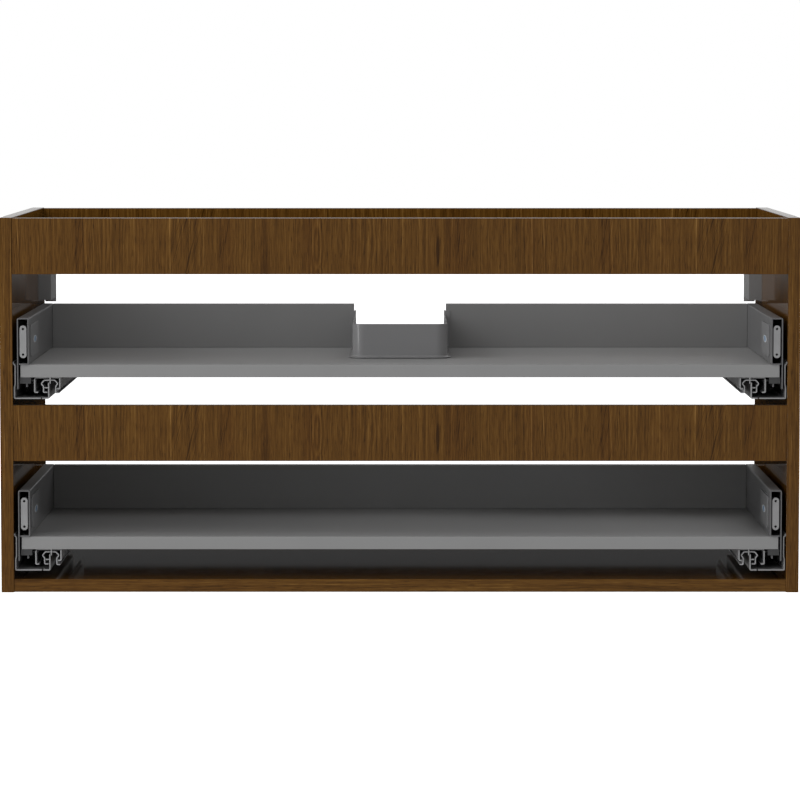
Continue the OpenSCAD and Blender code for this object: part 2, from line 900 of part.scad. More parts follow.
inner_cages(lower_floor_z);  // lower_inner_cages
inner_balls(lower_floor_z);  // lower_inner_balls
outer_cages(lower_floor_z);  // lower_outer_cages
outer_balls(lower_floor_z);  // lower_outer_balls
drawer_side(-1, upper_floor_z);  // upper_side_left
drawer_side(1, upper_floor_z);  // upper_side_right
drawer_bottom(upper_floor_z, true);  // upper_bottom
drawer_back(upper_floor_z, -back_half, -back_gap);  // upper_back_left
drawer_back(upper_floor_z, back_gap, back_half);  // upper_back_right
siphon_surround();
front_brackets(upper_floor_z);  // upper_front_brackets
caps(upper_floor_z);  // upper_caps
inner_rail(-1, upper_floor_z);  // upper_inner_rail_left
inner_rail(1, upper_floor_z);  // upper_inner_rail_right
back_brackets(upper_floor_z);  // upper_back_brackets
locks(upper_floor_z);  // upper_locks
catch(-1, upper_floor_z);  // upper_catch_left
catch(1, upper_floor_z);  // upper_catch_right
drawer_screws(upper_floor_z);  // upper_screws
drawer_side(-1, lower_floor_z);  // lower_side_left
drawer_side(1, lower_floor_z);  // lower_side_right
drawer_bottom(lower_floor_z, false);  // lower_bottom
drawer_back(lower_floor_z, -back_half, back_half);  // lower_back
front_brackets(lower_floor_z);  // lower_front_brackets
caps(lower_floor_z);  // lower_caps
inner_rail(-1, lower_floor_z);  // lower_inner_rail_left
inner_rail(1, lower_floor_z);  // lower_inner_rail_right
back_brackets(lower_floor_z);  // lower_back_brackets
locks(lower_floor_z);  // lower_locks
catch(-1, lower_floor_z);  // lower_catch_left
catch(1, lower_floor_z);  // lower_catch_right
drawer_screws(lower_floor_z);  // lower_screws
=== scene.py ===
"""Looks of the wall-hung vanity cabinet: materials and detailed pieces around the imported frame.

Lengths are in metres, unless a comment gives them in millimetres.
The axes are the frame's own: x across the front, -y to the front, z up.
"""

import json
import math

import bmesh
import bpy
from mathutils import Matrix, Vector

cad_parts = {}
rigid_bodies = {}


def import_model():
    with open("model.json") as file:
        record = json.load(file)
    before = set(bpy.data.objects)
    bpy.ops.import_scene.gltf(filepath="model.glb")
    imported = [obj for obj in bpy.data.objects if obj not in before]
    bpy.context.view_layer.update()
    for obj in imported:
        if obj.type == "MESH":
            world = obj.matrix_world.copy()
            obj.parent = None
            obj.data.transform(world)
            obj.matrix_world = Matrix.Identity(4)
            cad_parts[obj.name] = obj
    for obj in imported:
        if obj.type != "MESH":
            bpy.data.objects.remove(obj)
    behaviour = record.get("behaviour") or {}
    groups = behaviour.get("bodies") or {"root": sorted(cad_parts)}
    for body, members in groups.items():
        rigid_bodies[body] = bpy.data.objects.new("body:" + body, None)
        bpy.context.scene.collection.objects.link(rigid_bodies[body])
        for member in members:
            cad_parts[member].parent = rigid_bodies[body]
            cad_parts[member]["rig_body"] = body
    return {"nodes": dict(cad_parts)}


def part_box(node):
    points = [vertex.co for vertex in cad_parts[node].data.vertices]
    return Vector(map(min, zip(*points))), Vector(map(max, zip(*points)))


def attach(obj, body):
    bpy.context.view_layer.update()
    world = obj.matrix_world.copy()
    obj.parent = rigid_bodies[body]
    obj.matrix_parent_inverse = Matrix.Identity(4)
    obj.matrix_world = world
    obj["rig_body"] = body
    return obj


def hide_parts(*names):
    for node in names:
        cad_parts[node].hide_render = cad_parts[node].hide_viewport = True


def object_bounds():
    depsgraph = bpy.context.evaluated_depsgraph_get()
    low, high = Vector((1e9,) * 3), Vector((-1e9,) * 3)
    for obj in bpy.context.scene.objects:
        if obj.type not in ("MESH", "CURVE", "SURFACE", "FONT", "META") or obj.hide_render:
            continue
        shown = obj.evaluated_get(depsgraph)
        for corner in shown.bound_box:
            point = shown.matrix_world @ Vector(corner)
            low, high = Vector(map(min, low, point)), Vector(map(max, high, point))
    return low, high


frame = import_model()
CAD_LOW, CAD_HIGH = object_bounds()
NODES = frame["nodes"]
MM = 0.001
X, Y, Z = range(3)
LEVELS = ("lower", "upper")
SIDES = (-1, 1)
FRONT_Y = CAD_LOW.y
# Inner face of the right side panel, mirrored by the left one
PANEL_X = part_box("side_panel_right")[0].x


# ---- Camera, light and floor ----

CAMERA_DISTANCE = 4.8719
CAMERA_HEIGHT = 0.6205
CAMERA_TILT = math.radians(4.439)
CAMERA_LENS = 175.95
SENSOR_WIDTH = 36.0
CLIP_END = 100.0
FLOOR_Z = -0.45
FLOOR_HALF = 30.0
FLOOR_WHITE = 0.9
FLOOR_ROUGHNESS = 0.9
FLOOR_GLOW = 0.9
# Brightness of the surroundings as light, from left to right
AMBIENT = (0.63, 0.48)
# What reflections see: an even room in front, and behind it a bright band along the horizon.
# The band's edges are given as the sine of their height over the horizon.
ROOM_IN_FRONT = 0.25
ROOM_CHANGE = (-0.1, 0.1)
BAND_LIGHT = 0.62
BAND_TOP = (0.035, 0.080)
ABOVE_BAND = 0.066
BAND_FOOT = (-0.056, -0.006)
BELOW_BAND = 0.004
# Each soft light's place, the size of its panel and its power in watts
SOFT_LIGHTS = {
    "key": ((-2.4, -3.4, 2.6), (2.4, 2.0), 27),
    "side": ((-3.5, -0.6, 2.2), (2.0, 2.0), 46),
    "strip": ((-3.45, -2.0, 0.5), (0.4, 2.0), 26),
    "back": ((1.8, 4.0, 2.4), (2.6, 2.0), 28),
}
LIGHT_TARGET = (0, 0, 0.25)


def make_camera():
    data = bpy.data.cameras.new("camera")
    data.lens = CAMERA_LENS
    data.sensor_width = SENSOR_WIDTH
    data.clip_end = CLIP_END
    camera = bpy.data.objects.new("camera", data)
    camera.location = (0, FRONT_Y - CAMERA_DISTANCE, CAMERA_HEIGHT)
    camera.rotation_euler = (math.pi / 2 - CAMERA_TILT, 0, 0)
    bpy.context.scene.collection.objects.link(camera)
    bpy.context.scene.camera = camera


def make_lights():
    for name, (place, size, power) in SOFT_LIGHTS.items():
        data = bpy.data.lights.new(name, "AREA")
        data.shape = "RECTANGLE"
        data.size, data.size_y = size
        data.energy = power
        light = bpy.data.objects.new(name, data)
        light.location = place
        light.visible_camera = False
        to_cabinet = Vector(LIGHT_TARGET) - Vector(place)
        light.rotation_euler = to_cabinet.to_track_quat("-Z", "Y").to_euler()
        bpy.context.scene.collection.objects.link(light)


def map_range(tree, value, given, made, smooth=False):
    """Maps value from one (from, to) pair to another, clamped."""
    node = tree.nodes.new("ShaderNodeMapRange")
    if smooth:
        node.interpolation_type = "SMOOTHSTEP"
    names = ("From Min", "From Max", "To Min", "To Max")
    for name, number in zip(names, (*given, *made)):
        node.inputs[name].default_value = number
    tree.links.new(value, node.inputs["Value"])
    return node.outputs["Result"]


def blend_numbers(tree, share, a, b):
    node = tree.nodes.new("ShaderNodeMix")
    for socket, value in zip((node.inputs[0], node.inputs[2], node.inputs[3]), (share, a, b)):
        if isinstance(value, float):
            socket.default_value = value
        else:
            tree.links.new(value, socket)
    return node.outputs[0]


def make_world():
    """Soft surroundings, brighter on the left, with a dim room in reflections and a white backdrop."""
    world = bpy.data.worlds.new("studio")
    bpy.context.scene.world = world
    world.use_nodes = True
    tree = world.node_tree
    tree.nodes.clear()
    coordinates = tree.nodes.new("ShaderNodeTexCoord")
    direction = tree.nodes.new("ShaderNodeSeparateXYZ")
    tree.links.new(coordinates.outputs["Generated"], direction.inputs[0])
    across, back, up = (direction.outputs[axis] for axis in "XYZ")
    ambient = map_range(tree, across, (-1, 1), AMBIENT)
    over = map_range(tree, up, BAND_TOP, (BAND_LIGHT, ABOVE_BAND), smooth=True)
    foot = map_range(tree, up, BAND_FOOT, (0, 1), smooth=True)
    band = blend_numbers(tree, foot, BELOW_BAND, over)
    behind = map_range(tree, back, ROOM_CHANGE, (0, 1), smooth=True)
    room = blend_numbers(tree, behind, ROOM_IN_FRONT, band)

    path = tree.nodes.new("ShaderNodeLightPath")
    shown = None
    for strength, ray in ((ambient, None), (room, "Is Glossy Ray"), (None, "Is Camera Ray")):
        light = tree.nodes.new("ShaderNodeBackground")
        light.inputs["Color"].default_value = (1, 1, 1, 1)
        if strength:
            tree.links.new(strength, light.inputs["Strength"])
        if ray:
            mix = tree.nodes.new("ShaderNodeMixShader")
            tree.links.new(path.outputs[ray], mix.inputs[0])
            tree.links.new(shown, mix.inputs[1])
            tree.links.new(light.outputs[0], mix.inputs[2])
            shown = mix.outputs[0]
        else:
            shown = light.outputs[0]
    out = tree.nodes.new("ShaderNodeOutputWorld")
    tree.links.new(shown, out.inputs["Surface"])


def make_floor():
    """Plain white floor, well below the cabinet, which hangs on a wall."""
    mesh = bpy.data.meshes.new("floor")
    turns = ((-1, -1), (1, -1), (1, 1), (-1, 1))
    corners = [(x * FLOOR_HALF, y * FLOOR_HALF, FLOOR_Z) for x, y in turns]
    mesh.from_pydata(corners, [], [(0, 1, 2, 3)])
    floor = bpy.data.objects.new("floor", mesh)
    material = bpy.data.materials.new("floor_white")
    material.use_nodes = True
    shader = material.node_tree.nodes["Principled BSDF"]
    shader.inputs["Base Color"].default_value = (FLOOR_WHITE, FLOOR_WHITE, FLOOR_WHITE, 1)
    shader.inputs["Roughness"].default_value = FLOOR_ROUGHNESS
    shader.inputs["Emission Color"].default_value = (1, 1, 1, 1)
    shader.inputs["Emission Strength"].default_value = FLOOR_GLOW
    mesh.materials.append(material)
    bpy.context.scene.collection.objects.link(floor)
    floor.visible_diffuse = False
    floor.visible_glossy = False


# ---- Shader graphs ----

def srgb(*values):
    """Linear colour of 8-bit display values."""
    scaled = [v / 255 for v in values]
    return tuple(v / 12.92 if v <= 0.04045 else ((v + 0.055) / 1.055) ** 2.4 for v in scaled) + (1.0,)


class Graph:
    """One material's nodes, written as short calls. Inputs are numbers, colours or other nodes' outputs."""

    def __init__(self, name):
        self.material = bpy.data.materials.new(name)
        self.material.use_nodes = True
        self.tree = self.material.node_tree
        self.tree.nodes.clear()
        out = self.tree.nodes.new("ShaderNodeOutputMaterial")
        self.shader = self.tree.nodes.new("ShaderNodeBsdfPrincipled")
        self.tree.links.new(self.shader.outputs["BSDF"], out.inputs["Surface"])

    def put(self, socket, value):
        if isinstance(value, bpy.types.NodeSocket):
            self.tree.links.new(value, socket)
        else:
            socket.default_value = value

    def set(self, **inputs):
        for name, value in inputs.items():
            self.put(self.shader.inputs[name.replace("_", " ")], value)

    def object_parts(self):
        """x, y and z of the surface point in the frame at rest."""
        coordinates = self.tree.nodes.new("ShaderNodeTexCoord")
        parts = self.tree.nodes.new("ShaderNodeSeparateXYZ")
        self.tree.links.new(coordinates.outputs["Object"], parts.inputs[0])
        return [parts.outputs[i] for i in range(3)]

    def calc(self, operation, *values):
        node = self.tree.nodes.new("ShaderNodeMath")
        node.operation = operation
        for socket, value in zip(node.inputs, values):
            self.put(socket, value)
        return node.outputs[0]

    def add(self, *values):
        total = values[0]
        for value in values[1:]:
            total = self.calc("ADD", total, value)
        return total

    def times(self, *values):
        total = values[0]
        for value in values[1:]:
            total = self.calc("MULTIPLY", total, value)
        return total

    def less(self, a, b):
        return self.calc("SUBTRACT", a, b)

    def swing(self, noise, reach):
        """Noise moved to run both ways from 0, times its reach."""
        return self.times(self.less(noise, 0.5), reach)

    def step(self, value, low, high, to_low=0.0, to_high=1.0):
        """Smooth step of value from low to high."""
        node = self.tree.nodes.new("ShaderNodeMapRange")
        node.interpolation_type = "SMOOTHSTEP"
        for name, given in (("Value", value), ("From Min", low), ("From Max", high)):
            self.put(node.inputs[name], given)
        node.inputs["To Min"].default_value = to_low
        node.inputs["To Max"].default_value = to_high
        return node.outputs["Result"]

    def vector(self, x, y, z):
        node = self.tree.nodes.new("ShaderNodeCombineXYZ")
        for socket, value in zip(node.inputs, (x, y, z)):
            self.put(socket, value)
        return node.outputs[0]

    def stretched(self, parts, scales):
        """Vector of the parts, each times its scale in waves per metre."""
        return self.vector(*(self.times(p, s) for p, s in zip(parts, scales)))

    def noise(self, vector, scale=1.0, detail=2.0, roughness=0.5):
        node = self.tree.nodes.new("ShaderNodeTexNoise")
        self.tree.links.new(vector, node.inputs["Vector"])
        node.inputs["Scale"].default_value = scale
        node.inputs["Detail"].default_value = detail
        node.inputs["Roughness"].default_value = roughness
        return node.outputs["Fac"]

    def ramp(self, value, stops):
        node = self.tree.nodes.new("ShaderNodeValToRGB")
        elements = node.color_ramp.elements
        while len(elements) < len(stops):
            elements.new(0.5)
        for element, (place, colour) in zip(elements, stops):
            element.position = place
            element.color = colour
        self.put(node.inputs[0], value)
        return node.outputs["Color"]

    def blend(self, share, a, b, how="MIX"):
        node = self.tree.nodes.new("ShaderNodeMix")
        node.data_type = "RGBA"
        node.blend_type = how
        self.put(node.inputs[0], share)
        self.put(node.inputs[6], a)
        self.put(node.inputs[7], b)
        return node.outputs[2]

    def tint(self, value, tone, darkest, lightest):
        """Base colour between the tone times darkest, at 0, and the tone times lightest, at 1."""
        dark, light = (tuple(c * share for c in tone) + (1.0,) for share in (darkest, lightest))
        self.set(Base_Color=self.blend(value, dark, light))

    def bump(self, height, strength, distance=0.0002):
        node = self.tree.nodes.new("ShaderNodeBump")
        node.inputs["Strength"].default_value = strength
        node.inputs["Distance"].default_value = distance
        self.put(node.inputs["Height"], height)
        self.put(self.shader.inputs["Normal"], node.outputs[0])

    def bell(self, value, middle, width):
        """1 at the middle, falling smoothly to 0 at about twice the width from it."""
        off = self.times(self.less(value, middle), 1 / width)
        return self.calc("POWER", 2.718, self.times(self.times(off, off), -1.0))

    def ring(self, a, l, a0, a_size, l0, l_size):
        """Distance from (a0, l0), in sizes."""
        da = self.times(self.less(a, a0), 1 / a_size)
        dl = self.times(self.less(l, l0), 1 / l_size)
        return self.calc("SQRT", self.add(self.times(da, da), self.times(dl, dl)))


# ---- Materials ----

FRONT_LIGHT = 0.80


def seen(*values):
    """Surface colour that shows as these 8-bit display values on the cabinet's front."""
    return tuple(v / FRONT_LIGHT for v in srgb(*values)[:3]) + (1.0,)


WALNUT_STOPS = (
    (0.0, seen(44, 25, 4)), (0.28, seen(69, 44, 13)), (0.5, seen(87, 57, 19)),
    (0.72, seen(103, 71, 28)), (1.0, seen(132, 97, 49)),
)
WALNUT_RED = seen(104, 62, 34)
WALNUT_IOR = 1.4
# The printed figure repeats after this length
FOIL_REPEAT = 0.656
# Groups of slanted strokes: where they stand across the grain, how wide they are, their slope and depth
SLANTS = (
    (-0.266, 0.017, 0.26, 0.36), (0.260, 0.014, 0.20, 0.30), (0.1795, 0.006, 0.10, 0.26),
    (-0.217, 0.010, 0.22, 0.26), (0.075, 0.020, 0.12, 0.20), (-0.030, 0.016, 0.10, 0.18),
)
# Height at which the strokes stand where their group does
SLANT_LEVEL = 0.035
# Two tall eyes, one above the other, and a dark mark: middle and size across, middle and size along
EYES = ((-0.1035, 0.0046, 0.034, 0.0260), (-0.1030, 0.0042, -0.008, 0.0180))
MARK = (0.0475, 0.0022, 0.030, 0.0185)
# Nested arcs round the eyes, in turns of the sine for each of the eyes' sizes
ARCS_PER_SIZE = 1.15
# Broad shaded stripe: its middle and width across
STRIPE = (-0.167, 0.005)


def walnut(name, across, along, origin, front_edge=False):
    """Walnut-grain foil. The grain runs along one axis, and its figure repeats across another."""
    g = Graph(name)
    parts = [g.less(p, o) for p, o in zip(g.object_parts(), origin)]
    depth = 3 - across - along
    place = g.add(parts[across], parts[depth]) if front_edge else parts[across]
    a = g.calc("WRAP", place, FOIL_REPEAT / 2, -FOIL_REPEAT / 2)
    l, d = parts[along], parts[depth]

    def grain(place, across_scale, along_scale, **kind):
        return g.noise(g.stretched((place, d, l), (across_scale, across_scale, along_scale)), **kind)

    sway = grain(a, 12, 6, detail=1.0)
    ripple = grain(a, 60, 28, detail=2.0)
    s = g.add(a, g.swing(sway, 0.006), g.swing(ripple, 0.0016))
    band = grain(s, 70, 1.2, detail=2.0)
    streak = grain(s, 350, 5, detail=3.0, roughness=0.65)
    fibre = grain(s, 1100, 40, detail=2.0, roughness=0.6)
    gold = g.step(grain(s, 560, 4, detail=1.0), 0.60, 0.72)
    pore = g.step(grain(s, 1000, 60, detail=1.0), 0.60, 0.70)

    slanted = 0.0
    for middle, width, slope, weight in SLANTS:
        run = g.less(s, g.times(g.less(l, SLANT_LEVEL), slope))
        strokes = g.step(grain(run, 620, 18, detail=1.0), 0.52, 0.66)
        slanted = g.add(slanted, g.times(strokes, g.bell(a, middle, width), weight))

    eye = g.add(g.calc("MINIMUM", *(g.ring(a, l, *spot) for spot in EYES)), g.swing(sway, 1.2))
    rings = g.calc("SINE", g.times(eye, 2 * math.pi * ARCS_PER_SIZE))
    near_eye = g.times(g.step(eye, 0.35, 0.9), g.step(eye, 1.6, 3.2, 1.0, 0.0))
    mark = g.step(g.ring(a, l, *MARK), 0.75, 1.25, 1.0, 0.0)
    shade = g.times(g.bell(a, *STRIPE), g.step(l, 0.0, 0.06, 0.24, 0.12))

    value = g.add(
        0.52,
        g.swing(band, 0.36), g.swing(streak, 1.10), g.swing(fibre, 0.85),
        g.times(gold, 0.24), g.times(rings, near_eye, 0.15),
        g.times(g.add(g.times(pore, 0.26), slanted, g.times(mark, 0.34), shade), -1.0),
    )
    red = g.step(grain(s, 22, 0.8, detail=1.0), 0.46, 0.66, 0.0, 0.16)
    colour = g.blend(red, g.ramp(value, WALNUT_STOPS), WALNUT_RED, "SOFT_LIGHT")
    g.set(Base_Color=colour, Roughness=g.step(fibre, 0.3, 0.7, 0.05, 0.09), IOR=WALNUT_IOR)
    g.bump(g.add(g.times(fibre, 0.5), g.times(streak, 0.35), g.times(pore, -0.9)), 0.03)
    return g.material


def board_foil(name, tone):
    """Grey melamine: a fine pearl texture with faint clouding."""
    g = Graph(name)
    xyz = g.vector(*g.object_parts())
    pearl = g.noise(xyz, 2600, detail=2.0, roughness=0.6)
    cloud = g.noise(xyz, 14, detail=3.0)
    g.tint(g.add(g.swing(pearl, 0.30), g.swing(cloud, 0.25), 0.5), tone, 0.84, 1.16)
    g.set(Roughness=g.step(pearl, 0.3, 0.7, 0.46, 0.58), Specular_IOR_Level=0.4)
    g.bump(pearl, 0.05)
    return g.material


def powder_coat(name, tone, roughness):
    """Satin powder coat: orange peel of about a millimetre with fine dust in it."""
    g = Graph(name)
    xyz = g.vector(*g.object_parts())
    peel = g.noise(xyz, 900, detail=2.0, roughness=0.45)
    dust = g.noise(xyz, 5200, detail=1.0)
    cloud = g.noise(xyz, 20, detail=2.0)
    g.tint(g.add(g.swing(dust, 0.5), g.swing(cloud, 0.3), 0.5), tone, 0.86, 1.14)
    g.set(Roughness=g.step(dust, 0.3, 0.7, roughness - 0.05, roughness + 0.06), Specular_IOR_Level=0.45)
    g.bump(peel, 0.12, 0.0003)
    return g.material


def plated(name, tone, roughness, streaked=True):
    """Zinc or nickel plate over rolled sheet: drawn lines along the depth and a faint cloud."""
    g = Graph(name)
    x, y, z = g.object_parts()
    lines = g.noise(g.stretched((x, y, z), (2400, 26, 2400)), detail=2.0)
    cloud = g.noise(g.vector(x, y, z), 60, detail=3.0, roughness=0.6)
    value = g.add(g.swing(cloud, 0.7), 0.5)
    if streaked:
        value = g.add(value, g.swing(lines, 0.5))
    g.tint(value, tone, 0.82, 1.15)
    g.set(Metallic=0.4, Roughness=g.step(cloud, 0.3, 0.7, roughness - 0.06, roughness + 0.08))
    g.bump(lines if streaked else cloud, 0.08)
    return g.material


def moulded(name, tone, roughness):
    """Moulded plastic: fine spark texture and a slight sheen change over the surface."""
    g = Graph(name)
    xyz = g.vector(*g.object_parts())
    spark = g.noise(xyz, 3000, detail=2.0, roughness=0.6)
    cloud = g.noise(xyz, 35, detail=2.0)
    g.tint(g.add(g.swing(spark, 0.4), g.swing(cloud, 0.15), 0.5), tone, 0.85, 1.15)
    g.set(Roughness=g.step(spark, 0.3, 0.7, roughness - 0.03, roughness + 0.04))
    g.bump(spark, 0.04)
    return g.material


def beech_wood(name):
    """Beech dowel: grain along the dowel, which lies across the cabinet."""
    g = Graph(name)
    grain = g.noise(g.stretched(g.object_parts(), (40, 900, 900)), detail=2.0)
    stops = ((0.3, (0.42, 0.26, 0.13, 1)), (0.7, (0.62, 0.43, 0.25, 1)))
    g.set(Base_Color=g.ramp(grain, stops), Roughness=0.6)
    g.bump(grain, 0.2)
    return g.material


# Each walnut board's axes across and along its grain
WALNUT_BOARDS = {
    "front_top_rail": (X, Z), "front_middle_rail": (X, Z), "back_top_rail": (X, Z),
    "back_bottom_rail": (X, Z), "side_panel_left": (Y, Z), "side_panel_right": (Y, Z),
    "bottom_panel": (Z, X),
}


def board_origin(node):
    """Where a board's figure is measured from: the middle of its width and its lower edge."""
    low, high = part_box(node)
    return ((low.x + high.x) / 2, low.y, low.z)


def make_materials():
    """Materials by slot or use, and one walnut for each board, with its figure in its own place."""
    table = {
        "grey_board": board_foil("grey_melamine", (0.30, 0.30, 0.30)),
        # Darker copy of the same grey melamine for the drawer backs: painted shade, as the backs stand deep
        # inside the cabinet
        "shaded_back_board": board_foil("grey_melamine_back_shaded", (0.25, 0.25, 0.25)),
        "drawer_metal": powder_coat("grey_powder_coat", (0.155, 0.155, 0.158), 0.34),
        "hanger_metal": powder_coat("hanger_coat", (0.25, 0.25, 0.252), 0.30),
        "bright_steel": plated("bright_steel", (0.52, 0.52, 0.53), 0.34),
        "zinc_steel": plated("zinc_plate", (0.44, 0.44, 0.445), 0.40),
        "ball_steel": plated("ball_steel", (0.72, 0.72, 0.73), 0.16, streaked=False),
        "grey_plastic": moulded("grey_plastic", (0.22, 0.22, 0.225), 0.42),
        "dark_plastic": moulded("dark_plastic", (0.06, 0.06, 0.062), 0.45),
        "surround_plastic": moulded("surround_plastic", (0.25, 0.25, 0.255), 0.24),
        "plug_plastic": moulded("plug_plastic", (0.80, 0.80, 0.82), 0.35),
        "plug_blue": moulded("plug_blue", (0.20, 0.34, 0.50), 0.35),
        # Near-black painted shade for the inside of the front bars' holes
        "painted_hole_shade": plated("painted_hole_shade", (0.02, 0.02, 0.02), 0.5),
        "beech": beech_wood("beech"),
    }
    boards = {
        node: walnut("walnut_" + node, across, along, board_origin(node), front_edge=across == Y)
        for node, (across, along) in WALNUT_BOARDS.items()
    }
    return table, boards


# ---- Pieces ----

WELD = 1e-6
SMOOTH_ANGLE = math.radians(32)
FLAT_ANGLE = math.radians(0.3)
SHARP_ANGLE = math.radians(50)
BEVEL_STEPS = 2


def own_slot(node):
    return NODES[node].data.materials[0].name


def finish_mesh(name, bm, body, material):
    """Turns bm into a piece that rides on a body, with smooth shading except at its sharp edges."""
    bmesh.ops.recalc_face_normals(bm, faces=bm.faces)
    mesh = bpy.data.meshes.new(name)
    bm.to_mesh(mesh)
    bm.free()
    mesh.shade_smooth()
    mesh.set_sharp_from_angle(angle=SMOOTH_ANGLE)
    mesh.materials.append(material)
    piece = bpy.data.objects.new(name, mesh)
    bpy.context.scene.collection.objects.link(piece)
    weighted = piece.modifiers.new("flat_faces", "WEIGHTED_NORMAL")
    weighted.keep_sharp = True
    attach(piece, body)
    return piece


def add_piece(name, bm, node, material):
    """Adds a new piece that rides with a CAD node."""
    return finish_mesh(name, bm, NODES[node]["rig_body"], material)


def replace_node(node, bm, material):
    """Adds a CAD node's new shape, which stands in for it."""
    piece = add_piece(node + "_shape", bm, node, material)
    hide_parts(node)


def welded_mesh(node):
    """The CAD node's mesh with its triangles' corners joined."""
    bm = bmesh.new()
    bm.from_mesh(NODES[node].data)
    bmesh.ops.remove_doubles(bm, verts=bm.verts, dist=WELD)
    return bm


def node_mesh(node):
    """The CAD node's mesh, welded, with the triangles of each flat face joined."""
    bm = welded_mesh(node)
    bmesh.ops.dissolve_limit(bm, angle_limit=FLAT_ANGLE, verts=bm.verts, edges=bm.edges)
    return bm


def loose_parts(bm):
    """The separate solids of bm, each as a list of its corners."""
    parts, done = [], set()
    for start in bm.verts:
        if start in done:
            continue
        part, queue = [], [start]
        done.add(start)
        while queue:
            corner = queue.pop()
            part.append(corner)
            for edge in corner.link_edges:
                other = edge.other_vert(corner)
                if other not in done:
                    done.add(other)
                    queue.append(other)
        parts.append(part)
    return parts


def outer_edges(bm):
    """Edges of bm that lie on the edges of its bounding box."""
    low = [min(v.co[i] for v in bm.verts) for i in range(3)]
    high = [max(v.co[i] for v in bm.verts) for i in range(3)]

    def box_faces(v):
        ends = [(i, end, at[i]) for i in range(3) for end, at in enumerate((low, high))]
        return {(i, end) for i, end, at in ends if abs(v.co[i] - at) < WELD}

    return [e for e in bm.edges if len(box_faces(e.verts[0]) & box_faces(e.verts[1])) >= 2]


def sharp_edges(bm):
    return [e for e in bm.edges if len(e.link_faces) == 2 and e.calc_face_angle(0) > SHARP_ANGLE]


def bevelled(bm, edges, width):
    bmesh.ops.bevel(
        bm, geom=edges, offset=width, segments=BEVEL_STEPS, profile=0.5, affect="EDGES",
        clamp_overlap=True,
    )
    return bm


def join_loops(bm, loops):
    """Faces between each closed loop of corners and the next."""
    for low, high in zip(loops, loops[1:]):
        for k in range(len(low)):
            nxt = (k + 1) % len(low)
            bm.faces.new((low[k], low[nxt], high[nxt], high[k]))


def axis_turn(axis):
    """Matrix that turns z to the axis."""
    return Vector(axis).to_track_quat("Z", "Y").to_matrix()


def lathe(bm, rings, place, turn, steps=32):
    """Adds a turned shape. Rings are (radius, height) pairs, turn is the matrix of its axes."""
    angles = [2 * math.pi * k / steps for k in range(steps)]
    loops = []
    for radius, height in rings:
        spots = [Vector((radius * math.cos(t), radius * math.sin(t), height)) for t in angles]
        loops.append([bm.verts.new(place + turn @ spot) for spot in spots])
    join_loops(bm, loops)
    return loops


# ---- Boards, metal pieces and balls ----

DRAWER_BOARDS = ("upper_bottom", "lower_bottom", "upper_back_left", "upper_back_right", "lower_back")
BOARD_EDGE = 0.5 * MM
# Width of the broken edges of the nodes whose names hold these words, in millimetres
EDGE_WIDTHS = {
    "side": 0.12, "caps": 0.35, "front_brackets": 0.4, "hanger_housing": 0.5, "hanger_hook": 0.5,
    "dampers": 0.8, "locks": 0.4, "catch": 0.3, "back_brackets": 0.2,
    "outer_rail": 0.2, "middle_rail": 0.2, "inner_rail": 0.2,
}


def make_boards(board_materials, table):
    """Carcass and drawer boards with the slightly rounded edges of lipped board."""
    materials = dict(board_materials)
    for node in DRAWER_BOARDS:
        # Drawer backs take the darker copy of the grey melamine, which paints in their shade
        materials[node] = table["shaded_back_board" if "back" in node else "grey_board"]
    for node, material in materials.items():
        bm = node_mesh(node)
        replace_node(node, bevelled(bm, outer_edges(bm), BOARD_EDGE), material)


def make_edged_pieces(table):
    """Metal and plastic pieces with their edges broken, each by its own width."""
    for node in sorted(NODES):
        if own_slot(node) in ("walnut", "grey_board") or "balls" in node:
            continue
        width = next((w for key, w in EDGE_WIDTHS.items() if key in node), None)
        if width:
            bm = node_mesh(node)
            if "caps" in node:
                remove_plugs(bm)
            replace_node(node, bevelled(bm, sharp_edges(bm), width * MM), table[own_slot(node)])


def make_balls(table):
    for node in sorted(NODES):
        if "balls" in node:
            replace_node(node, welded_mesh(node), table["ball_steel"])


# ---- Front fixing bars ----

# The bars' middle from the panel, and their holes' radius and distance from the bar's middle
BAR_U = 13.3 * MM
BAR_HOLE_R = 1.48 * MM
BAR_HOLE_RISE = 16 * MM
# Each hole's near-black lining, painted shade deep in the hole: share of its radius, and depth under the
# bar's front
LINING = ((1, 1.2 * MM), (0.8, 1.6 * MM), (0.75, 9 * MM))
LINING_STEPS = 24


def make_bar_hole_shade(table):
    """Painted shade inside the holes of the front fixing bars: a near-black lining where the holes fall into
    shade.
    """
    rings = [(BAR_HOLE_R * share, -depth) for share, depth in LINING]
    turn = axis_turn((0, -1, 0))
    for level in LEVELS:
        node = level + "_front_brackets"
        low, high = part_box(node)
        middle_z = (low.z + high.z) / 2
        bm = bmesh.new()
        for side in SIDES:
            for rise in (-BAR_HOLE_RISE, BAR_HOLE_RISE):
                place = Vector((side * (PANEL_X - BAR_U), low.y, middle_z + rise))
                loops = lathe(bm, rings, place, turn, LINING_STEPS)
                bm.faces.new(loops[-1])
        add_piece(level + "_bar_hole_shade", bm, node, table["painted_hole_shade"])


# ---- Cap plugs ----

# The oval plug in each cap: its foot and its top from the panel, its middle and half its straight
# length along the depth, and the radius of its round ends
PLUG_U = (20.7 * MM, 22.3 * MM)
PLUG_T = 68 * MM
PLUG_STRAIGHT = 15.2 * MM
PLUG_RADIUS = 4.7 * MM
PLUG_TOP = PLUG_U[1] - PLUG_U[0]
PLUG_ROUND = 0.1 * MM
